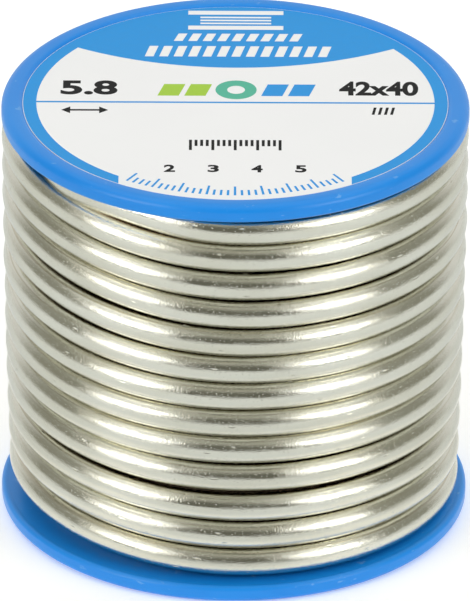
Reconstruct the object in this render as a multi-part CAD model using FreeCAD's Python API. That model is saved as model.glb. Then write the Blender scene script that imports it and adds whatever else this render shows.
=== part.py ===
import FreeCAD, Part
import math
import os

# A plastic spool of thick solder wire, standing on its lower flange.
# Millimetres, +Z up along the spool's axis, origin at the centre of the face that it stands on.
# Angles are counted from +X towards +Y; the front of the spool faces -Y.

# The spool's outside
flange_diameter = 42.0
overall_height = 40.0
rim_thickness = 1.65
rim_width = 1.85
outer_rim_round = 0.85
inner_rim_round = 0.4
recess_depth = 0.35

# The barrel, and the flanges' spigots that plug into its ends and hold the bore
barrel_diameter = 17.0
barrel_wall = 1.0
joint_clearance = 0.05
spigot_wall = 0.95
spigot_length = 8.0
spigot_lead = 0.3
mouth_chamfer = 0.5

# The paper label in the upper recess
label_thickness = 0.12
label_clearance = 0.05

# The wire and how it is wound. A share of each turn's fall is a step, within one quarter turn
# at the left of the front, and the rest is even. The steps grow smaller from turn to turn.
wire_diameter = 2.7
winding_inset_bottom = 0.75
inset_growth = 1.6
turn_gap = 0.42
settling_gap = 0.04
last_turn_lift = 0.42
layer_clearance = 0.2
core_clearance = 0.05
step_end_angle = -82.0
first_step_share = 0.78
least_step_share = 0.1
turns_with_steps = 8
quarters_past_last_turn = 2
most_turns = 24

# The wire's start, which runs in the fourth layer and comes out behind the second turn's step
rise_radius = 10.0

QUARTER = math.pi / 2
UP = FreeCAD.Vector(0, 0, 1)

flange_radius = flange_diameter / 2
most_round_share = 0.9
round_scale = min(1.0, most_round_share * rim_thickness / (outer_rim_round + inner_rim_round))
outer_round = outer_rim_round * round_scale
inner_round = inner_rim_round * round_scale
barrel_radius = barrel_diameter / 2
socket_radius = barrel_radius - barrel_wall
spigot_radius = socket_radius - joint_clearance
bore_radius = spigot_radius - spigot_wall
recess_radius = flange_radius - rim_width
lower_face = rim_thickness
upper_face = overall_height - rim_thickness
winding_width = upper_face - lower_face
tube_radius = (wire_diameter - turn_gap) / 2
layer_step = wire_diameter + layer_clearance
highest_turn = upper_face - wire_diameter / 2
lowest_turn = lower_face + wire_diameter / 2


def point(radius, height):
    return FreeCAD.Vector(radius, 0, height)


def quarter_arc(start, end, centre):
    """A quarter circle from start to end in the half plane of the profile."""
    half_way = (start + end) * 0.5 - centre
    half_way.normalize()
    middle = centre + half_way * start.distanceToPoint(centre)
    return Part.Arc(start, middle, end).toShape()


def line(start, end):
    return Part.LineSegment(start, end).toShape()


def revolve(edges):
    """The solid that a closed profile sweeps in a full turn about the spool's axis."""
    face = Part.Face(Part.Wire(edges))
    return face.revolve(FreeCAD.Vector(0, 0, 0), UP, 360)


def rim_edges():
    """The flange's profile from the recess floor round the rim to the inner face, outer face down."""
    land_inner = point(recess_radius + recess_depth, 0)
    land_outer = point(flange_radius - outer_round, 0)
    side_low = point(flange_radius, outer_round)
    side_high = point(flange_radius, rim_thickness - inner_round)
    face_edge = point(flange_radius - inner_round, rim_thickness)
    return [
        quarter_arc(point(recess_radius, recess_depth), land_inner, land_inner + UP * recess_depth),
        line(land_inner, land_outer),
        quarter_arc(land_outer, side_low, land_outer + UP * outer_round),
        line(side_low, side_high),
        quarter_arc(side_high, face_edge, face_edge - UP * inner_round),
    ]


def profile(corners):
    return [line(a, b) for a, b in zip(corners, corners[1:])]


def lower_flange():
    """A disc with a rounded rim, a shallow recess in its outer face and a spigot on its inner face."""
    spigot_end = rim_thickness + spigot_length
    inside = profile([
        point(flange_radius - inner_round, rim_thickness),
        point(spigot_radius, rim_thickness),
        point(spigot_radius, spigot_end - spigot_lead),
        point(spigot_radius - spigot_lead, spigot_end),
        point(bore_radius, spigot_end),
        point(bore_radius, recess_depth + mouth_chamfer),
        point(bore_radius + mouth_chamfer, recess_depth),
        point(recess_radius, recess_depth),
    ])
    return revolve(rim_edges() + inside)


def upper_flange():
    """The same moulding as the lower flange, turned over."""
    solid = lower_flange()
    solid.rotate(FreeCAD.Vector(0, 0, 0), FreeCAD.Vector(1, 0, 0), 180)
    solid.translate(UP * overall_height)
    return solid


def barrel():
    """The tube between the flanges, on which the wire is wound."""
    foot = UP * lower_face
    tube = Part.makeCylinder(barrel_radius, winding_width, foot, UP)
    return tube.cut(Part.makeCylinder(socket_radius, winding_width, foot, UP))


def top_label():
    """Round paper label that lies on the recess floor and closes the bore's upper end."""
    floor = UP * (overall_height - recess_depth)
    return Part.makeCylinder(recess_radius - label_clearance, label_thickness, floor, UP)


def quarter_heights():
    """Heights of the outer layer's centre line at each quarter turn, from the end of the first step.

    The path is that of the real wire. The tube is drawn thinner by the gap that keeps its turns
    apart. No turn lies lower than a wire's width over the next one, or the lower flange lets it.
    """
    turns = min(most_turns, int(winding_width / wire_diameter))
    spacing = (highest_turn - lowest_turn - last_turn_lift) / (turns - 1)
    heights = []
    for quarter in range(4 * (turns - 1) + quarters_past_last_turn + 1):
        turn = quarter // 4
        step_share = max(least_step_share, first_step_share * (1 - turn / turns_with_steps))
        even_fall = (1 - step_share) * (quarter % 4) / 4
        heights.append(max(lowest_turn, highest_turn - spacing * (turn + even_fall)))
    for quarter in range(len(heights) - 5, -1, -1):
        rest = heights[quarter + 4] + wire_diameter + settling_gap
        heights[quarter] = min(highest_turn, max(heights[quarter], rest))
    return heights


def inset(height):
    """How far the winding stands back from the flanges' edge. It grows towards the lower flange."""
    share = (upper_face - height) / winding_width
    return winding_inset_bottom * share ** inset_growth


def winding_radius(height):
    """Radius of the outer layer's centre line."""
    return flange_radius - inset(height) - wire_diameter / 2


def winding_places():
    """Places and directions of the wire at each quarter turn, going down and left-handed.

    Beside a step the slope is that of the side without it. The last place is drawn in a little,
    so that the straight run after it stays inside the flanges' edge.
    """
    heights = quarter_heights()
    last = len(heights) - 1
    places = []
    for quarter, height in enumerate(heights):
        before = quarter if quarter % 4 == 0 else quarter - 1
        after = quarter if quarter % 4 == 3 or quarter == last else quarter + 1
        fall = (heights[after] - heights[before]) / (max(1, after - before) * QUARTER)
        radius = winding_radius(height)
        widening = fall * (winding_radius(height) - winding_radius(height - 1))
        if quarter == last:
            radius -= 2 * tube_radius ** 2 / radius
        angle = math.radians(step_end_angle) + quarter * QUARTER
        place = FreeCAD.Vector(radius * math.cos(angle), radius * math.sin(angle), height)
        way = FreeCAD.Vector(
            widening * math.cos(angle) - radius * math.sin(angle),
            widening * math.sin(angle) + radius * math.cos(angle),
            fall,
        )
        way.normalize()
        places.append((place, way))
    return places


def arc_from(start, way, end):
    """The circle arc that leaves start in the direction way and reaches end."""
    chord = end - start
    across = chord - way * chord.dot(way)
    across.normalize()
    radius = chord.dot(chord) / (2 * chord.dot(across))
    centre = start + across * radius
    half_way = start + end - centre * 2
    half_way.normalize()
    return Part.Arc(start, centre + half_way * radius, end), radius


def biarc(start, start_way, end, end_way):
    """Two arcs that join smoothly and take the wire from one place and direction to the next."""
    chord = end - start
    both = start_way + end_way
    bend = 2 * (1 - start_way.dot(end_way))
    reach = (math.sqrt(chord.dot(both) ** 2 + bend * chord.dot(chord)) - chord.dot(both)) / bend
    joint = (start + end + (start_way - end_way) * reach) * 0.5
    first, first_radius = arc_from(start, start_way, joint)
    second, second_radius = arc_from(end, end_way * -1, joint)
    back = Part.Arc(joint, second.value(0.5 * (second.FirstParameter + second.LastParameter)), end)
    return [first, back], min(first_radius, second_radius)


def start_run(place, way):
    """Pieces that bring the wire out of the fourth layer to its first place.

    Going back from that place, an arc bends inwards, a straight run leads on to where it lies
    square to the radius, in the fourth layer, and a quarter circle about the axis follows it.
    """
    inward = FreeCAD.Vector(-place.x, -place.y, 0)
    across = inward - way * inward.dot(way)
    across.normalize()
    centre = place + across * rise_radius

    def back_on_arc(angle):
        return centre - (across * math.cos(angle) + way * math.sin(angle)) * rise_radius

    radius = math.hypot(place.x, place.y)
    turned = math.acos(1 - layer_step / (radius - rise_radius))
    foot = back_on_arc(turned)
    rise_way = way * math.cos(turned) - across * math.sin(turned)
    back = FreeCAD.Vector(foot.x, foot.y, 0).dot(rise_way)
    square = foot - rise_way * back
    axis = FreeCAD.Vector(0, 0, square.z)
    outward = square - axis

    def back_on_layer(angle):
        return axis + outward * math.cos(angle) - rise_way * (outward.Length * math.sin(angle))

    start = back_on_layer(QUARTER)
    start_way = outward * (1 / outward.Length)
    pieces = [
        Part.LineSegment(start - start_way * 2 * tube_radius, start),
        Part.Arc(start, back_on_layer(QUARTER / 2), square),
        Part.LineSegment(square, foot),
        Part.Arc(foot, back_on_arc(turned / 2), place),
    ]
    return pieces


def winding_path():
    """Pieces of the outer layer's centre line, with a short straight run at each end."""
    places = winding_places()
    arcs = []
    radii = [rise_radius]
    for (start, start_way), (end, end_way) in zip(places, places[1:]):
        pair, radius = biarc(start, start_way, end, end_way)
        arcs += pair
        radii.append(radius)
    run = 2 * tube_radius
    last_place, last_way = places[-1]
    tail = Part.LineSegment(last_place, last_place + last_way * run)
    print("tightest bend radius %.2f mm, tube diameter %.3f mm" % (min(radii), run))
    return start_run(*places[0]) + arcs + [tail]


def least_gap(path, steps_per_piece=12):
    """Least clear distance between the tube's turns, measured on points of its centre line."""
    spots = []
    for piece in path:
        first, last = piece.FirstParameter, piece.LastParameter
        spots += [piece.value(first + (last - first) * i / steps_per_piece) for i in range(steps_per_piece)]
    half_turn = 4 * steps_per_piece
    least = min(
        spots[i].distanceToPoint(spots[j])
        for i in range(len(spots))
        for j in range(i + half_turn, min(len(spots), i + 3 * half_turn))
    )
    return least - 2 * tube_radius


def outer_wire_layer():
    """The outer layer of the wire as one unbroken tube."""
    path = winding_path()
    print("least gap of the outer layer to itself %.3f mm" % least_gap(path))
    start = path[0].value(path[0].FirstParameter)
    way = path[0].value(path[0].LastParameter) - start
    section = Part.Wire([Part.Circle(start, way, tube_radius).toShape()])
    spine = Part.Wire([piece.toShape() for piece in path])
    return spine.makePipeShell([section], True, False)


def inner_wire_layers():
    """The layers under the outer one, as one plain sleeve that fills the barrel's width.

    The fourth layer's uppermost turn is left out, because the wire comes up to the fifth there.
    """
    low = lower_face + core_clearance
    high = upper_face - core_clearance
    shoulder = highest_turn - tube_radius - layer_clearance
    depth = tube_radius + layer_clearance
    inner_radius = barrel_radius + core_clearance
    neck_radius = max(inner_radius + core_clearance, winding_radius(high) - layer_step - depth)
    corners = [
        point(inner_radius, low),
        point(winding_radius(low) - depth, low),
        point(winding_radius(shoulder) - depth, shoulder),
        point(neck_radius, shoulder),
        point(neck_radius, high),
        point(inner_radius, high),
        point(inner_radius, low),
    ]
    return revolve(profile(corners))


nodes = {
    "lower_flange": lower_flange,
    "barrel": barrel,
    "upper_flange": upper_flange,
    "top_label": top_label,
    "outer_wire_layer": outer_wire_layer,
    "inner_wire_layers": inner_wire_layers,
}

os.makedirs("parts", exist_ok=True)
for name, make in nodes.items():
    shape = make()
    if not shape.isValid():
        raise ValueError(name + " is not a valid solid")
    shape.exportStep("parts/" + name + ".step")
    print("%s: %.1f mm3" % (name, shape.Volume))
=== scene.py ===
import math

import bmesh
import bpy
import numpy as np
from mathutils import Matrix, Vector
from mathutils.geometry import interpolate_bezier


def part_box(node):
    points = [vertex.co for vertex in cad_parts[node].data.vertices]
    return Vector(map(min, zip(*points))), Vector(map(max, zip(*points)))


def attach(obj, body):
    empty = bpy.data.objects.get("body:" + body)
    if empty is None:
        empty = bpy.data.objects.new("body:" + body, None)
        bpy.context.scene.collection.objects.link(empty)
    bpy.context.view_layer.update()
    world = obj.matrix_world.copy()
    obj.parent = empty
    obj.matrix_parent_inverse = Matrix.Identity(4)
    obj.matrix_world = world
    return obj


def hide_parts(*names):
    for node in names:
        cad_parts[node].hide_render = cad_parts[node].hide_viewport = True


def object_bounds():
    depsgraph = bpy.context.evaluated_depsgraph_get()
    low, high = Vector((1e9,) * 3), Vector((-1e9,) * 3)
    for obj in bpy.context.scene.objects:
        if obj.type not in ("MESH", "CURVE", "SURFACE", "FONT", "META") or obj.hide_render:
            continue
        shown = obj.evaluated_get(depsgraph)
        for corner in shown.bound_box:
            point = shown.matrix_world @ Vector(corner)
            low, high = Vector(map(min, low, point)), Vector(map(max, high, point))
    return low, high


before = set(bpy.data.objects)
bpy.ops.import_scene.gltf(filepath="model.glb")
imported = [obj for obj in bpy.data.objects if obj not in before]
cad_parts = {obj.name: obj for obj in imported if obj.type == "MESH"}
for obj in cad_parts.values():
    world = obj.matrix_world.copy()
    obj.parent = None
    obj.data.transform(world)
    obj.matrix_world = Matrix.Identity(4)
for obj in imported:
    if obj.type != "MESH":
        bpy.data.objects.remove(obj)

cad_low, cad_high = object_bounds()
mm = 0.001

# Lower flange: a round injection moulding in blue polystyrene, with a rounded rim, a shallow
# recess in its outer face and a spigot on its inner face. The spigot plugs into the barrel and
# holds the bore for the spindle. The spool stands on the crest of the rim.
flange_radius = (cad_high.x - cad_low.x) / 2
rim_thickness = 1.65 * mm
recess_depth = 0.35 * mm
recess_radius = flange_radius - 1.85 * mm
recess_fillet = 0.15 * mm
recess_lean = 0.02 * mm
recess_pull = 0.1 * mm
crest_radius = flange_radius - 0.95 * mm
crest_inset = 0.35 * mm
crest_reach = 0.3 * mm
crest_pull = 0.1 * mm
crest_in_sink = 0.03 * mm
crest_out_sink = 0.04 * mm
corner_low = 0.13 * mm
corner_high = 0.4 * mm
side_low = 0.75 * mm
side_high = 1.25 * mm
inner_round = 0.4 * mm
lip_inner = flange_radius - 0.45 * mm
lip_slope = 0.3 * mm
lower_lip = 0.02 * mm
disc_start = 12.5 * mm
disc_slope = 0.2 * mm
spigot_radius = 7.45 * mm
spigot_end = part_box("lower_flange")[1].z
spigot_lead = 0.3 * mm
bore_radius = 6.5 * mm
mouth_chamfer = 0.5 * mm
mark_radius = 1.1 * mm
mark_height = 0.03 * mm
mark_ring_radius = 12.5 * mm
mark_count = 4
mark_first_angle = 45
mark_steps = 40
mark_bevel = 0.04 * mm
mark_bevel_height = 0.01 * mm
mark_hole_share = 0.02
gate_radius = 0.55 * mm
gate_ring_radius = 9.2 * mm
flange_steps = 256


class Output:
    """An output of a shader node. A sum or product with it becomes a Math node."""

    def __init__(self, tree, socket):
        self.tree = tree
        self.socket = socket

    def math(self, operation, *values):
        return self.tree.node("ShaderNodeMath", {"operation": operation}, dict(enumerate(values)))

    def __add__(self, other):
        return self.math("ADD", self, other)

    def __sub__(self, other):
        return self.math("SUBTRACT", self, other)

    def __rsub__(self, other):
        return self.math("SUBTRACT", other, self)

    def __mul__(self, other):
        return self.math("MULTIPLY", self, other)

    def __abs__(self):
        return self.math("ABSOLUTE", self)

    __radd__ = __add__
    __rmul__ = __mul__


class Tree:
    """The shader nodes of one finish, or of the studio's surroundings."""

    def __init__(self, owner):
        owner.use_nodes = True
        self.nodes = owner.node_tree.nodes
        self.links = owner.node_tree.links

    def feed(self, target, value):
        if isinstance(value, Output):
            self.links.new(value.socket, target)
        else:
            target.default_value = value

    def node(self, kind, settings=None, inputs=None, output=0):
        made = self.nodes.new(kind)
        for name, value in (settings or {}).items():
            setattr(made, name, value)
        for socket, value in (inputs or {}).items():
            self.feed(made.inputs[socket], value)
        return Output(self, made.outputs[output])

    def place(self):
        """The point on the piece, in metres."""
        return self.node("ShaderNodeTexCoord", output=3)

    def split(self, place):
        """The x, y and z of a place."""
        made = self.node("ShaderNodeSeparateXYZ", None, {0: place})
        return [Output(self, socket) for socket in made.socket.node.outputs]

    def noise(self, place, scale, detail=3.0, roughness=0.5):
        """Soft random spots, 0 to 1. The scale is spots per unit of the place."""
        inputs = {"Vector": place, "Scale": scale, "Detail": detail, "Roughness": roughness}
        return self.node("ShaderNodeTexNoise", None, inputs)

    def stretched(self, place, factors):
        return self.node("ShaderNodeVectorMath", {"operation": "MULTIPLY"}, {0: place, 1: factors})

    def streaks(self, place, factors, detail=2.0, roughness=0.5):
        """Noise with its own scale along each axis of the place."""
        return self.noise(self.stretched(place, factors), 1.0, detail, roughness)

    def dots(self, place, factors):
        """The distance from the nearest of scattered points, with a scale for each axis."""
        inputs = {"Vector": self.stretched(place, factors), "Scale": 1.0, "Randomness": 1.0}
        return self.node("ShaderNodeTexVoronoi", {"voronoi_dimensions": "2D"}, inputs)

    def ramp(self, value, low, high):
        """0 below low, 1 above high and a soft step between."""
        inputs = {"Value": value, "From Min": low, "From Max": high}
        return self.node("ShaderNodeMapRange", {"interpolation_type": "SMOOTHSTEP"}, inputs)

    def mix(self, share, first, second):
        """The first colour, and the second where the share is 1."""
        inputs = {0: share, 6: first, 7: second}
        return self.node("ShaderNodeMix", {"data_type": "RGBA"}, inputs, output=2)

    def bump(self, height, depth, below=None):
        inputs = {"Height": height, "Distance": depth}
        if below:
            inputs["Normal"] = below
        return self.node("ShaderNodeBump", None, inputs)


def colour(red, green, blue):
    """A colour given as on a screen, 0 to 255, as the light that it reflects."""
    shares = [channel / 255 for channel in (red, green, blue)]
    return tuple(s / 12.92 if s <= 0.04045 else ((s + 0.055) / 1.055) ** 2.4 for s in shares) + (1.0,)


def material(name, constants, varying):
    """A finish from the shader's constant values and from a function that links what varies."""
    made = bpy.data.materials.new(name)
    tree = Tree(made)
    shader = tree.nodes["Principled BSDF"]
    for socket, value in constants.items():
        shader.inputs[socket].default_value = value
    for socket, value in varying(tree).items():
        tree.feed(shader.inputs[socket], value)
    return made


def plastic_look(tree):
    """Moulded polystyrene: an even blue, a satin skin with faint flow and a few handling scuffs."""
    place = tree.place()
    flow = tree.noise(place, 160.0, 2.0)
    grain = tree.noise(place, 5200.0, 2.0)
    scuffs = tree.ramp(tree.streaks(place, (900.0, 900.0, 2600.0), 4.0), 0.66, 0.74)
    blue = tree.mix(flow, colour(18, 133, 226), colour(26, 143, 233))
    skin = tree.bump(grain, 0.0006 * mm)
    return {
        "Base Color": tree.mix(scuffs * 0.35, blue, colour(150, 196, 240)),
        "Roughness": 0.26 + grain * 0.1 + scuffs * 0.2,
        "Normal": tree.bump(flow, 0.02 * mm, skin),
    }


spool_plastic = material("moulded_blue_plastic", {"IOR": 1.5, "Specular IOR Level": 0.4}, plastic_look)


def lathe_points(profile, steps):
    """Rings of points from a profile of (radius, height) pairs turned about the spool's axis."""
    angles = np.linspace(0, 2 * math.pi, steps, endpoint=False)
    radii = np.array([radius for radius, height in profile])[:, None]
    heights = np.array([height for radius, height in profile])[:, None]
    rings = np.stack([radii * np.cos(angles), radii * np.sin(angles), heights + 0 * angles], axis=-1)
    return rings.reshape(-1, 3)


def grid_faces(rows, columns, rows_closed, columns_closed):
    """Quads between neighbouring rows and columns of points."""
    faces = []
    for row in range(rows if rows_closed else rows - 1):
        for column in range(columns if columns_closed else columns - 1):
            across = (column + 1) % columns
            below = (row + 1) % rows
            faces.append((
                row * columns + column,
                row * columns + across,
                below * columns + across,
                below * columns + column,
            ))
    return faces


def piece(name, points, faces, finish, crease_angle=35.0):
    """A piece of the spool as a smooth mesh with sharp edges where it folds more than the angle."""
    mesh = bpy.data.meshes.new(name)
    mesh.from_pydata([tuple(p) for p in points], [], faces)
    made = bpy.data.objects.new(name, mesh)
    bpy.context.scene.collection.objects.link(made)
    tidy = bmesh.new()
    tidy.from_mesh(mesh)
    bmesh.ops.recalc_face_normals(tidy, faces=tidy.faces)
    for face in tidy.faces:
        face.smooth = True
    for edge in tidy.edges:
        edge.smooth = edge.calc_face_angle(0.0) < math.radians(crease_angle)
    tidy.to_mesh(mesh)
    tidy.free()
    mesh.materials.append(finish)
    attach(made, "root")
    return made


def bend(start, first_pull, second_pull, end, steps=9):
    """Points of a smooth bend in the profile, from start to end."""
    corners = [Vector((a, b, 0)) for a, b in (start, first_pull, second_pull, end)]
    return [(p.x, p.y) for p in interpolate_bezier(*corners, steps)]


def flange_profile(lip):
    """The flange's closed profile with the outer face at height 0 and the spigot upwards.

    The lip is how far the rim stands proud of the disc on the wire's side.
    """
    floor_edge = recess_radius - recess_fillet
    crest_in = (recess_radius + crest_inset, crest_in_sink)
    crest_out = (crest_radius + crest_reach, crest_out_sink)
    disc_face = rim_thickness - lip
    points = bend((floor_edge, recess_depth), (recess_radius, recess_depth),
                  (recess_radius + recess_lean, recess_pull), crest_in)
    points += bend(crest_in, (crest_in[0] + crest_reach, 0.0),
                   (crest_radius + crest_pull, 0.0), crest_out)[1:]
    points += bend(crest_out, (flange_radius - crest_reach, corner_low),
                   (flange_radius, corner_high), (flange_radius, side_low), 13)[1:]
    points += bend((flange_radius, side_high), (flange_radius, side_high + 0.55 * inner_round),
                   (flange_radius - 0.45 * inner_round, rim_thickness),
                   (flange_radius - inner_round, rim_thickness), 13)
    points += bend((lip_inner, rim_thickness), (lip_inner - 0.6 * lip_slope, rim_thickness),
                   (lip_inner - 0.4 * lip_slope, disc_face), (lip_inner - lip_slope, disc_face), 13)
    points += [(disc_start, disc_face), (disc_start - disc_slope, rim_thickness)]
    points += [(spigot_radius, rim_thickness), (spigot_radius, spigot_end - spigot_lead)]
    points += [(spigot_radius - spigot_lead, spigot_end), (bore_radius, spigot_end)]
    points += [(bore_radius, recess_depth + mouth_chamfer), (bore_radius + mouth_chamfer, recess_depth)]
    return points


def moulding_marks():
    """Round marks of the ejector pins and the gate, a hair proud of the recess floor."""
    points = []
    faces = []
    angles = [mark_first_angle + 360 / mark_count * i for i in range(mark_count)]
    places = [(mark_ring_radius, angle, mark_radius) for angle in angles]
    places.append((gate_ring_radius, 0, gate_radius))
    for ring_radius, degrees, radius in places:
        centre = np.array([
            ring_radius * math.cos(math.radians(degrees)),
            ring_radius * math.sin(math.radians(degrees)),
            0,
        ])
        hole = radius * mark_hole_share
        proud = recess_depth - mark_height
        sunk = recess_depth + mark_height
        profile = [(hole, sunk), (radius, sunk), (radius, proud + mark_bevel_height)]
        profile += [(radius - mark_bevel, proud), (hole, proud)]
        start = len(points)
        points += [p + centre for p in lathe_points(profile, mark_steps)]
        quads = grid_faces(len(profile), mark_steps, True, True)
        faces += [tuple(start + i for i in quad) for quad in quads]
    return points, faces


def flange(name, turned_over, lip):
    """A flange with its marks, standing on its outer face or turned over onto the barrel's top."""
    profile = flange_profile(lip)
    points = list(lathe_points(profile, flange_steps))
    faces = grid_faces(len(profile), flange_steps, True, True)
    mark_points, mark_faces = moulding_marks()
    faces += [tuple(len(points) + i for i in quad) for quad in mark_faces]
    points += mark_points
    if turned_over:
        points = [(x, -y, cad_high.z - z) for x, y, z in points]
    made = piece(name, points, faces, spool_plastic)
    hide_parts(name)
    return made


flange("lower_flange", turned_over=False, lip=lower_lip)

# Barrel: a plain tube in the same blue plastic, pushed over the spigots of both flanges. All of
# it is under the wire, so its CAD solid stays and only takes the finish.
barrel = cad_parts["barrel"]
barrel.data.materials.clear()
barrel.data.materials.append(spool_plastic)

# Solder wire, inner layers: drawn tin wire with a little copper, 2.7 mm thick and bright. It is
# wound on the barrel in four layers of 12 or 13 turns, up and down, and is not fixed otherwise.
wire_diameter = 2.7 * mm
wire_radius = wire_diameter / 2
wire_skin = 0.005 * mm
wire_crease_angle = 50.0
row_margin = 0.03
row_fill = 0.94
first_layer_radius = 9.9 * mm
winding_taper = 0.75 * mm
taper_growth = 1.6
inner_layers = 4
inner_start_angle = 210.0
barrel_turns = 13
step_start = 0.6
step_end = 0.9
inner_steps_per_turn = 64
inner_sides = 12
lowest_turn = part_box("lower_flange")[0].z + rim_thickness + wire_radius
highest_turn = cad_high.z - rim_thickness - wire_radius


def wire_look(tree):
    """Drawn tin: drawing lines along it, sparkling grain, nicks, painted shade and painted reflection
    lines.
    """
    place = tree.node("ShaderNodeUVMap", {"uv_map": "along_and_round"})
    round_it = tree.split(place)[1]
    lines = tree.streaks(place, (0.012, 4.5, 1.0), 4.0, 0.6)
    fine_lines = tree.streaks(place, (0.05, 13.0, 1.0))
    grain = tree.streaks(place, (6.0, 9.0, 1.0), 2.0, 0.6)
    patches = tree.ramp(tree.streaks(place, (0.25, 0.6, 1.0)), 0.3, 0.65)
    stains = tree.streaks(place, (0.09, 0.35, 1.0), 4.0)
    nick_depth = 1 - tree.ramp(tree.dots(place, (0.11, 0.5, 1.0)), 0.0, 0.05)
    pits = tree.ramp(tree.dots(place, (1.9, 3.4, 1.0)), 0.0, 0.16)
    upwards = round_it - math.pi * wire_radius / mm
    # Painted shade: each turn's top next to the gap under the turn above is turned dark brown, where
    # that turn shades it.
    painted_gap_shade = tree.ramp(upwards, 1.66, 1.95)
    # Painted shade: the underside of each turn, where it rests on the turn below, is mixed towards grey.
    painted_underside_shade = tree.ramp(upwards * -1.0, 1.9, 2.3)
    sheltered = tree.ramp(upwards, 0.95, 1.35)
    # Streaks like drawing lines, painted darker only on each turn's upper side as a painted reflection
    # of the turn above.
    painted_seam_reflections = tree.ramp(tree.streaks(place, (0.007, 5.5, 1.0)), 0.52, 0.6)
    painted_seam_reflections = painted_seam_reflections * tree.ramp(upwards, 0.9, 1.4)
    tin = tree.mix(tree.ramp(stains, 0.35, 0.7), colour(224, 223, 211), colour(216, 214, 199))
    tin = tree.mix(painted_seam_reflections * 0.45, tin, colour(162, 149, 117))
    tin = tree.mix(painted_underside_shade * 0.5, tin, colour(120, 116, 105))
    relief = tree.bump(lines, 0.004 * mm)
    relief = tree.bump(fine_lines, 0.0015 * mm, relief)
    relief = tree.bump(grain * (0.35 + 0.65 * patches), 0.03 * mm, relief)
    relief = tree.bump(pits, 0.011 * mm, relief)
    return {
        "Base Color": tree.mix(painted_gap_shade * 0.85, tin, colour(110, 80, 44)),
        "Roughness": (0.06 + lines * 0.11) * (1.0 - 0.6 * sheltered) + nick_depth * 0.2,
        "Normal": tree.bump(1 - nick_depth, 0.03 * mm, relief),
    }


solder = material("drawn_tin_wire", {"Metallic": 1.0}, wire_look)


def tube(line, radius, sides, widths=None, heights=None):
    """Rings of points round a line that winds about the spool's axis, with the seam facing inwards.

    Widths and heights scale a ring across the winding and along the spool's axis.
    """
    line = np.asarray(line)
    ahead = np.gradient(line, axis=0)
    ahead /= np.linalg.norm(ahead, axis=1)[:, None]
    outward = line * (1, 1, 0)
    outward /= np.linalg.norm(outward, axis=1)[:, None]
    outward -= ahead * (outward * ahead).sum(axis=1)[:, None]
    outward /= np.linalg.norm(outward, axis=1)[:, None]
    upward = np.cross(outward, ahead)
    widths = np.ones(len(line)) if widths is None else widths
    heights = np.ones(len(line)) if heights is None else heights
    angles = np.linspace(-math.pi, math.pi, sides, endpoint=False)
    across = (radius * widths)[:, None, None] * np.cos(angles)[None, :, None] * outward[:, None, :]
    along = (radius * heights)[:, None, None] * np.sin(angles)[None, :, None] * upward[:, None, :]
    return (line[:, None, :] + across + along).reshape(-1, 3)


def wound_wire(name, line, sides, steps_per_turn, replaced, widths=None, heights=None):
    """A wire along a line, with maps that run along and round it."""
    rings = len(line)
    points = tube(line, wire_radius - wire_skin, sides, widths, heights)
    faces = grid_faces(rings, sides, False, True)
    start_cap = tuple(range(sides))
    end_cap = tuple(range((rings - 1) * sides, rings * sides))
    made = piece(name, points, faces + [start_cap, end_cap], solder, wire_crease_angle)
    steps = np.linalg.norm(np.diff(line, axis=0), axis=1)
    length = np.concatenate([[0], np.cumsum(steps)]) / mm
    girth = 2 * math.pi * wire_radius / mm
    rows = math.ceil((rings - 1) / steps_per_turn)
    along = made.data.uv_layers.new(name="along_and_round")
    sheet = made.data.uv_layers.new(name="OFBake")
    for face in made.data.polygons:
        corners = [made.data.loops[i].vertex_index for i in face.loop_indices]
        ring_of = [corner // sides for corner in corners]
        side_of = [corner % sides for corner in corners]
        capped = len(corners) > 4
        wraps = not capped and max(side_of) - min(side_of) > 1
        row = min(ring_of) // steps_per_turn
        for loop, ring, side in zip(face.loop_indices, ring_of, side_of):
            share = 1.0 if wraps and side == 0 else side / sides
            along.data[loop].uv = (length[ring], share * girth)
            sheet.data[loop].uv = (
                (ring - row * steps_per_turn + 0.5) / (steps_per_turn + 1),
                (row + row_margin + row_fill * share) / rows,
            )
    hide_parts(replaced)
    return made


def smooth_step(value):
    held = np.clip(value, 0, 1)
    return held * held * (3 - 2 * held)


def inset(height):
    """How far the winding stands back from the flanges' edge. It grows towards the lower flange."""
    share = (highest_turn + wire_radius - height) / (highest_turn - lowest_turn + wire_diameter)
    return winding_taper * share ** taper_growth


def inner_line():
    """The line of the four hidden layers, which climb and fall in turn and step out at the flanges."""
    top_layer_radius = flange_radius - wire_radius - wire_diameter
    layer_step = (top_layer_radius - first_layer_radius) / (inner_layers - 1)
    pitch = (highest_turn - lowest_turn) / (barrel_turns - 1)
    points = []
    for layer in range(inner_layers):
        rising = layer % 2 == 1
        nested = layer % 2 == 0
        turns = barrel_turns - 1 if nested else barrel_turns
        for step in range(turns * inner_steps_per_turn):
            turn = step / inner_steps_per_turn
            step_share = smooth_step((turn % 1 - step_start) / (step_end - step_start))
            stepped = math.floor(turn) + float(step_share)
            travelled = min(stepped, turns - 1) + (0.5 if nested else 0)
            height = lowest_turn + pitch * travelled if rising else highest_turn - pitch * travelled
            radius = first_layer_radius + layer_step * layer
            radius += float(smooth_step(turn - turns + 1)) * layer_step * (layer < inner_layers - 1)
            radius -= inset(height) * layer / (inner_layers - 1)
            angle = turn * 2 * math.pi - math.radians(inner_start_angle)
            points.append((radius * math.cos(angle), radius * math.sin(angle), height))
    return np.array(points)


wound_wire("inner_wire_layers", inner_line(), inner_sides, inner_steps_per_turn, "inner_wire_layers")

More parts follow.
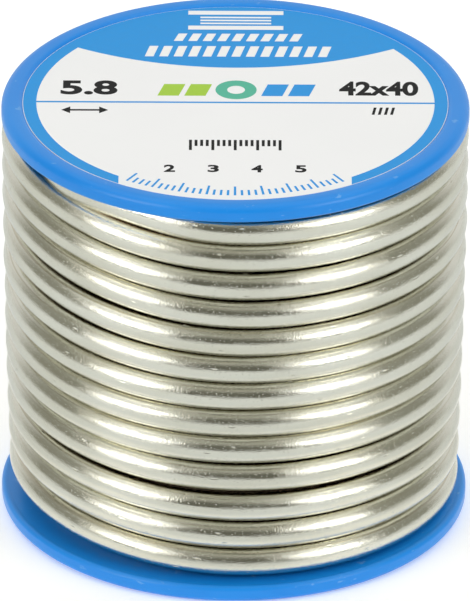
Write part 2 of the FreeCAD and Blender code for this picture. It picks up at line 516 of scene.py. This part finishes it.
# Solder wire, outer layer: the same wire comes up from the fourth layer under the upper flange
# and is laid from top to bottom in 13 turns. The upper turns step down at the left of the front,
# the lower ones come down more evenly. The snipped end lies on the lower flange behind.
turn_slack = [0.0, 0.17, 0.14, 0.11, 0.01, 0.02, 0.02, 0.02, 0.16, 0.36, 0.14, 0.1]
step_shares = [0.8, 0.74, 0.8, 0.62, 0.42, 0.28, 0.22, 0.18, 0.32, 0.3, 0.4, 0.35]
step_angle = -37.0
step_width = 90.0
climb_start = -120.0
climb_end = 60.0
last_fall = 0.35 * mm
last_fall_angle = 45.0
last_fall_width = 110.0
loose_end = 194.0
outer_steps_per_turn = 160
outer_sides = 36
height_smoothing = 7
setback_smoothing = 5
wander = 0.03 * mm
wander_steps = 20
wander_seed = 7
upper_lip = 0.9 * mm
lip_clearance = 0.03 * mm
squeeze = 0.7 * mm
snip_steps = 20
snip_length = 1.1
snip_width = 0.12
snip_height = 0.9


def fall(degrees):
    """How far the wire's line has come down after so many degrees from the front of the first turn.

    A share of each turn's fall is a step at the left of the front. The rest is spread over the
    turn, and more of it behind than in front. The last turn sinks onto the lower flange.
    """
    past_last = degrees - 360 * len(turn_slack) - last_fall_angle
    down = last_fall * smooth_step(past_last / last_fall_width + 0.5)
    for turn, (slack, share) in enumerate(zip(turn_slack, step_shares)):
        centre = 360 * (turn + 1) + step_angle
        gone = np.clip(degrees / 360 - turn, 0, 1)
        spread = (gone + smooth_step(gone)) / 2
        step = smooth_step((degrees - centre) / step_width + 0.5)
        down += (wire_diameter + slack * mm) * ((1 - share) * spread + share * step)
    return down


def settled(heights):
    """Lifts every point that would sink into the turn under it, from the last turn to the first."""
    lifted = heights.copy()
    for place in range(len(lifted) - outer_steps_per_turn - 1, -1, -1):
        rest = lifted[place + outer_steps_per_turn] + wire_diameter
        lifted[place] = max(lifted[place], min(rest, highest_turn + upper_lip - lip_clearance))
    return lifted


def smoothed(values, reach):
    padded = np.concatenate([np.full(reach, values[0]), values, np.full(reach, values[-1])])
    window = np.hanning(2 * reach + 1)
    return np.convolve(padded, window / window.sum(), mode="valid")


def outer_line():
    degrees = np.arange(climb_start, 360 * len(turn_slack) + loose_end, 360 / outer_steps_per_turn)
    heights = smoothed(settled(highest_turn - fall(degrees)), height_smoothing)
    drop = heights[:-outer_steps_per_turn] - heights[outer_steps_per_turn:]
    behind = np.zeros_like(heights)
    behind[:len(drop)] = np.sqrt(np.clip((wire_diameter - squeeze) ** 2 - drop ** 2, 0, None))
    behind[degrees > climb_end] = 0
    under_rim = np.clip(highest_turn + wire_radius - heights, 0, wire_radius)
    reach = np.where(heights > highest_turn, np.sqrt(wire_radius ** 2 - under_rim ** 2), 0)
    room_inside = lip_inner - lip_slope / 2 - lip_clearance
    behind = np.maximum(behind, flange_radius - wire_radius - inset(heights) + reach - room_inside)
    behind = np.clip(behind, 0, None)
    angles = np.radians(degrees - 90)
    uneven = np.random.default_rng(wander_seed)
    knots = np.abs(uneven.normal(0, wander, len(degrees) // wander_steps + 2))
    wandering = np.interp(np.arange(len(degrees)) / wander_steps, np.arange(len(knots)), knots)
    set_back = inset(heights) + smoothed(behind, setback_smoothing) + wandering
    radii = flange_radius - wire_radius - set_back
    return np.stack([radii * np.cos(angles), radii * np.sin(angles), heights], axis=-1)


outer = outer_line()
from_end = np.linalg.norm(outer - outer[-1], axis=1) / wire_radius
near_end = np.arange(len(outer)) > len(outer) - snip_steps
pinch = np.where(near_end, smooth_step(from_end / snip_length), 1.0)
wound_wire("outer_wire_layer", outer, outer_sides, outer_steps_per_turn, "outer_wire_layer",
           widths=snip_width + (1 - snip_width) * pinch, heights=snip_height + (1 - snip_height) * pinch)

# Upper flange: a moulding like the lower one, turned over and pressed into the barrel's top. Its
# disc is thinner inside the rim, where the wire's first turn lies. Its recess holds the label.
flange("upper_flange", turned_over=True, lip=upper_lip)

# Label: a round of coated white paper, die cut and glued on the recess floor. Its print is
# generic: a blue border and panel, plain numbers, plain pictures and scales.
label_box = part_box("top_label")
label_radius = (label_box[1].x - label_box[0].x) / 2
label_top = label_box[1].z
label_bottom = label_box[0].z
ink_thickness = 0.008 * mm
border_outer = label_radius - 0.06 * mm
border_inner = 17.85 * mm
border_gap = 33.0
panel_lowest = 6.9 * mm
panel_edge = 10.8 * mm
axis_hole = 0.02 * mm
edge_bevel = 0.02 * mm
figure_offset = 0.035


def paper_look(tree):
    """Coated white paper: faint fibres, a soft sheen and an almost even white."""
    place = tree.place()
    fibres = tree.streaks(place, (2600.0, 1500.0, 1500.0), 4.0)
    cloud = tree.noise(place, 90.0, 2.0)
    return {
        "Base Color": tree.mix(cloud, colour(243, 243, 246), colour(248, 248, 250)),
        "Roughness": 0.42 + fibres * 0.12,
        "Normal": tree.bump(fibres, 0.0015 * mm),
    }


def ink(name, tone, gloss=0.5):
    """Offset ink on coated paper: the flat colour with the faint mottle of its film."""
    def look(tree):
        place = tree.place()
        mottle = tree.noise(place, 1800.0, 3.0)
        thin = tuple(channel * 1.08 + 0.004 for channel in tone[:3]) + (1.0,)
        return {
            "Base Color": tree.mix(mottle, tone, thin),
            "Roughness": 0.34 + mottle * 0.14,
            "Normal": tree.bump(mottle, 0.001 * mm),
        }
    return material(name, {"IOR": 1.45, "Specular IOR Level": gloss}, look)


label_paper = material("coated_white_paper", {"IOR": 1.45}, paper_look)
blue_ink = ink("blue_ink", colour(24, 147, 224), 0.25)
black_ink = ink("black_ink", colour(8, 8, 8), 0.12)
green_ink = ink("green_ink", colour(160, 202, 38))
teal_ink = ink("teal_ink", colour(70, 178, 150))

paper_profile = [
    (axis_hole, label_bottom),
    (label_radius, label_bottom),
    (label_radius, label_top - edge_bevel),
    (label_radius - edge_bevel, label_top),
    (axis_hole, label_top),
]
paper = piece("top_label", lathe_points(paper_profile, flange_steps),
              grid_faces(len(paper_profile), flange_steps, True, True), label_paper)
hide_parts("top_label")


def arc_outline(radius, start, end, steps=96):
    """Points on a circle about the label's middle, with angles in degrees from the right."""
    angles = [math.radians(start + (end - start) * i / steps) for i in range(steps + 1)]
    return [(radius * math.cos(a), radius * math.sin(a)) for a in angles]


def band(inner, outer_radius, start, end, steps=96):
    return arc_outline(outer_radius, start, end, steps) + arc_outline(inner, end, start, steps)


def block(left, right, low, high, lean=0.0):
    return [(left, low), (right, low), (right + lean, high), (left + lean, high)]


def disc(x, y, radius):
    return [(x + a, y + b) for a, b in arc_outline(radius, 0, 360, 40)[:-1]]


def print_piece(name, outlines, finish):
    """A film of ink with the outlines given. An outline inside another is left bare."""
    curve = bpy.data.curves.new(name, "CURVE")
    curve.dimensions = "2D"
    curve.fill_mode = "BOTH"
    curve.extrude = ink_thickness
    for outline in outlines:
        spline = curve.splines.new("POLY")
        spline.points.add(len(outline) - 1)
        for spot, (x, y) in zip(spline.points, outline):
            spot.co = (x, y, 0, 1)
        spline.use_cyclic_u = True
    return settle_print(name, curve, Matrix.Translation((0, 0, label_top)), finish)


def settle_print(name, curve, place, finish):
    """Turns a flat curve or text into a mesh that lies on the label."""
    drawn = bpy.data.objects.new(name + "_outline", curve)
    bpy.context.scene.collection.objects.link(drawn)
    bpy.context.view_layer.update()
    drawn_now = drawn.evaluated_get(bpy.context.evaluated_depsgraph_get())
    mesh = bpy.data.meshes.new_from_object(drawn_now)
    mesh.transform(place)
    mesh.name = name
    bpy.data.objects.remove(drawn)
    made = bpy.data.objects.new(name, mesh)
    bpy.context.scene.collection.objects.link(made)
    mesh.materials.clear()
    mesh.materials.append(finish)
    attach(made, "root")
    return made


def number(name, text, left, right, low, high):
    """Plain bold figures that fill the box given."""
    figures = bpy.data.curves.new(name, "FONT")
    figures.body = text
    figures.offset = figure_offset
    drawn = bpy.data.objects.new(name + "_size", figures)
    bpy.context.scene.collection.objects.link(drawn)
    bpy.context.view_layer.update()
    corners = [Vector(c) for c in drawn.bound_box]
    lowest = Vector(map(min, *corners))
    size = Vector(map(max, *corners)) - lowest
    bpy.data.objects.remove(drawn)
    figures.extrude = ink_thickness
    stretch = Vector(((right - left) / size.x, (high - low) / size.y, 1.0))
    place = Matrix.Translation((left, low, label_top)) @ Matrix.Diagonal(stretch).to_4x4()
    place = place @ Matrix.Translation((-lowest.x, -lowest.y, 0))
    return settle_print(name, figures, place, black_ink)


gap_start = 270 - border_gap
gap_end = 270 + border_gap
inner_gap = math.degrees(math.asin(border_outer * math.sin(math.radians(border_gap)) / border_inner))
panel_end = math.degrees(math.asin(panel_edge / border_inner))
panel_half = math.sqrt(border_inner ** 2 - panel_edge ** 2)
panel_rise = panel_edge - panel_lowest
sag_radius = (panel_half ** 2 + panel_rise ** 2) / (2 * panel_rise)
sag_half = math.degrees(math.asin(panel_half / sag_radius))
sag = [
    (x, y + panel_lowest + sag_radius)
    for x, y in arc_outline(sag_radius, 270 - sag_half, 270 + sag_half, 60)
]
border = arc_outline(border_outer, gap_end, gap_start + 360, 240)
border += arc_outline(border_inner, 270 - inner_gap, 180 - panel_end, 60) + sag
border += arc_outline(border_inner, panel_end, inner_gap - 90, 60)

picture_half = 4.3 * mm
picture_wound_half = 3.2 * mm
picture_flange = 0.8 * mm
picture_wire = 0.32 * mm
picture_flange_lows = (17.5 * mm, 14.5 * mm)
picture_wire_lows = (15.6 * mm, 16.2 * mm, 16.8 * mm)
spool_picture = [
    block(-picture_half, picture_half, low, low + picture_flange) for low in picture_flange_lows
]
spool_picture += [
    block(-picture_wound_half, picture_wound_half, low, low + picture_wire) for low in picture_wire_lows
]


def strokes(reach, low, high, width=0.8 * mm, pitch=1.3 * mm, lean=0.45 * mm):
    """A row of slanted strokes like wound wire, to both sides of the middle."""
    count = round(reach / pitch)
    return [
        block(pitch * i - width / 2, pitch * i + width / 2, low, high, lean)
        for i in range(-count, count + 1)
    ]


wound_rows = strokes(reach=5.4 * mm, low=12.2 * mm, high=13.7 * mm)
wound_rows += strokes(reach=8.0 * mm, low=9.1 * mm, high=11.2 * mm)
print_piece("label_blue_print", [border] + spool_picture + wound_rows, blue_ink)

rule_width = 0.27 * mm
dial_outer = 18.2 * mm
dial_inner = 17.2 * mm
dial_long_inner = 16.5 * mm
dial_step = 2
dial_half_count = 16
dial_half_width = 0.35
long_tick_every = 4
rule = block(-border_inner, border_inner, -rule_width / 2, rule_width / 2)
dial = []
for tick in range(-dial_half_count, dial_half_count + 1):
    middle = 270 + dial_step * tick
    reach = dial_long_inner if tick % long_tick_every == 0 else dial_inner
    dial.append(band(reach, dial_outer, middle - dial_half_width, middle + dial_half_width, 2))
print_piece("label_blue_scale", [rule] + dial, blue_ink)

figures_low = 1.45 * mm
figures_high = 4.25 * mm
left_figures = (-15.7 * mm, -10.6 * mm)
right_figures = (9.3 * mm, 16.4 * mm)
number("label_left_number", "5.8", *left_figures, figures_low, figures_high)
number("label_right_number", "42x40", *right_figures, figures_low, figures_high)

block_width = 1.9 * mm
block_low = 1.3 * mm
block_high = 3.6 * mm
block_lean = 0.6 * mm
blocks = [(-7.0 * mm, green_ink), (-4.6 * mm, green_ink), (2.3 * mm, blue_ink), (4.7 * mm, blue_ink)]
for count, (left, tint) in enumerate(blocks):
    outline = block(left, left + block_width, block_low, block_high, block_lean)
    print_piece("label_block_%d" % (count + 1), [outline], tint)
ring_x = 0.05 * mm
ring_y = 2.5 * mm
ring_radii = (1.85 * mm, 0.8 * mm)
ring = [disc(ring_x, ring_y, radius) for radius in ring_radii]
print_piece("label_ring", ring, teal_ink)

ruler_top = -7.4 * mm
ruler_low = -8.6 * mm
ruler_long_low = -9.4 * mm
ruler_pitch = 0.5 * mm
ruler_half_width = 0.13 * mm
ruler_half_count = 8
ruler = []
for tick in range(-ruler_half_count, ruler_half_count + 1):
    middle = tick * ruler_pitch
    low = ruler_long_low if tick % long_tick_every == 0 else ruler_low
    ruler.append(block(middle - ruler_half_width, middle + ruler_half_width, low, ruler_top))

arrow_x = -13.5 * mm
arrow_y = -1.6 * mm
arrow_half = 2.1 * mm
arrow_shaft_end = 1.3 * mm
arrow_shaft_half_width = 0.15 * mm
arrow_head_half = 0.65 * mm
arrow_quarter = [
    (arrow_half, 0),
    (arrow_shaft_end, arrow_head_half),
    (arrow_shaft_end, arrow_shaft_half_width),
]
arrow = [(arrow_x + x, arrow_y + y) for x, y in arrow_quarter]
arrow += [(arrow_x - x, arrow_y + y) for x, y in reversed(arrow_quarter)]
arrow += [(arrow_x - x, arrow_y - y) for x, y in arrow_quarter[1:]]
arrow += [(arrow_x + x, arrow_y - y) for x, y in reversed(arrow_quarter[1:])]

stroke_left = 12.2 * mm
stroke_width = 0.25 * mm
stroke_pitch = 0.55 * mm
stroke_low = -2.3 * mm
stroke_high = -0.9 * mm
stroke_lean = 0.2 * mm
stroke_count = 4
lefts = [stroke_left + stroke_pitch * i for i in range(stroke_count)]
coil = [block(left, left + stroke_width, stroke_low, stroke_high, stroke_lean) for left in lefts]
print_piece("label_black_print", ruler + [arrow] + coil, black_ink)

small_pitch = 3.9 * mm
small_half = 0.5 * mm
small_low = -13.7 * mm
small_high = -12.3 * mm
small_figures = range(2, 6)
small_middle = 3.5
for figure in small_figures:
    middle = (figure - small_middle) * small_pitch
    number("label_scale_number_%d" % figure, str(figure), middle - small_half, middle + small_half,
           small_low, small_high)

# Studio: a pale floor whose sheet under and behind the spool glows, painted light that lifts its shadow,
# soft boxes on both sides and above, and pale surroundings that are darker on the camera's side.
floor_half = 1.5
sheet_start = -0.03
sheet_end = -0.0225
sheet_half = 0.0225
sheet_fade = 0.035
glowing_sheet_white = (0.94, 0.94, 0.94, 1.0)
bench_grey = (0.89, 0.92, 0.95, 1.0)
floor_mesh = bpy.data.meshes.new("floor")
floor_signs = [(-1, -1), (1, -1), (1, 1), (-1, 1)]
floor_mesh.from_pydata([(a * floor_half, b * floor_half, 0) for a, b in floor_signs], [], [(0, 1, 2, 3)])
floor = bpy.data.objects.new("floor", floor_mesh)
bpy.context.scene.collection.objects.link(floor)


def floor_look(tree):
    place = tree.place()
    across, depth = tree.split(place)[:2]
    sheet = tree.ramp(depth, sheet_start, sheet_end)
    sheet = sheet * (1 - tree.ramp(abs(across), sheet_half, sheet_fade))
    return {
        "Base Color": tree.mix(sheet, bench_grey, glowing_sheet_white),
        # The sheet glows: painted light that lifts the spool's shadow off the floor under and behind it.
        "Emission Color": tree.mix(sheet, (0.0, 0.0, 0.0, 1.0), glowing_sheet_white),
        "Roughness": 0.6 + 0.1 * tree.noise(place, 30.0),
    }


floor_mesh.materials.append(material("pale_floor", {"Emission Strength": 0.28}, floor_look))

horizon = 0.05
front_olive = (0.152, 0.152, 0.127, 1.0)
side_olive = (0.303, 0.303, 0.258, 1.0)
back_white = (0.82, 0.82, 0.812, 1.0)
ceiling_olive = (0.443, 0.443, 0.385, 1.0)
overhead_white = (0.95, 0.95, 0.9, 1.0)
floor_white = (0.82, 0.82, 0.82, 1.0)
softbox_distance = 1.0
world = bpy.data.worlds.new("studio")
bpy.context.scene.world = world
room = Tree(world)
across_share, depth_share, height_share = room.split(room.node("ShaderNodeTexCoord"))
walls = room.mix(room.ramp(depth_share, -0.7, -0.1), front_olive, side_olive)
walls = room.mix(room.ramp(height_share, 0.55, 0.85), walls, ceiling_olive)
overhead = room.ramp(height_share - depth_share * 0.35, 0.68, 0.8)
overhead = overhead * room.ramp(abs(across_share) + depth_share * 0.24, 0.2, 0.3)
walls = room.mix(overhead, walls, overhead_white)
walls = room.mix(room.ramp(depth_share, 0.35, 0.75), walls, back_white)
room.feed(
    room.nodes["Background"].inputs["Color"],
    room.mix(room.ramp(height_share, 0.0, horizon), floor_white, walls),
)


def softbox(name, azimuth, elevation, width, height, strength):
    """A soft light that faces the spool. The azimuth is from the front towards the right."""
    a, e = math.radians(azimuth), math.radians(elevation)
    place = Vector((math.sin(a) * math.cos(e), -math.cos(a) * math.cos(e), math.sin(e)))
    lamp = bpy.data.lights.new(name, "AREA")
    lamp.shape = "RECTANGLE"
    lamp.size = width
    lamp.size_y = height
    lamp.energy = strength * width * height
    made = bpy.data.objects.new(name, lamp)
    made.location = place * softbox_distance
    made.rotation_euler = place.to_track_quat("Z", "Y").to_euler()
    bpy.context.scene.collection.objects.link(made)


softbox("right_softbox", 52.0, 24.0, 0.42, 0.44, 11.0)
softbox("right_diffuser", 52.0, 24.0, 0.7, 0.56, 4.0)
softbox("left_softbox", -50.0, 24.0, 0.44, 0.44, 11.0)
softbox("left_diffuser", -50.0, 24.0, 0.74, 0.56, 4.0)
softbox("top_softbox", 180.0, 80.0, 1.2, 1.0, 1.7)

# Camera: far away with a long lens, since the spool's sides hardly lean together in the
# photograph. It looks down on the front of the spool, which fills the picture.
image_height = 601
camera_distance = 1.68
camera_elevation = 27.54
camera_roll = -0.26
focal_length_in_pixels = 18638.0
sensor = 36.0
look_at = Vector((0.04 * mm, 0, 19.75 * mm))
lens = bpy.data.cameras.new("camera")
lens.sensor_width = sensor
lens.lens = focal_length_in_pixels * sensor / image_height
elevation_angle = math.radians(camera_elevation)
roll_angle = math.radians(camera_roll)
back = Vector((0, -math.cos(elevation_angle), math.sin(elevation_angle)))
level_right = Vector((1, 0, 0))
level_up = back.cross(level_right)
right = level_right * math.cos(roll_angle) - level_up * math.sin(roll_angle)
up = level_right * math.sin(roll_angle) + level_up * math.cos(roll_angle)
camera = bpy.data.objects.new("camera", lens)
turn = Matrix((right, up, back)).transposed().to_4x4()
camera.matrix_world = Matrix.Translation(look_at + back * camera_distance) @ turn
bpy.context.scene.collection.objects.link(camera)
bpy.context.scene.camera = camera
bpy.context.scene.view_settings.view_transform = "Standard"
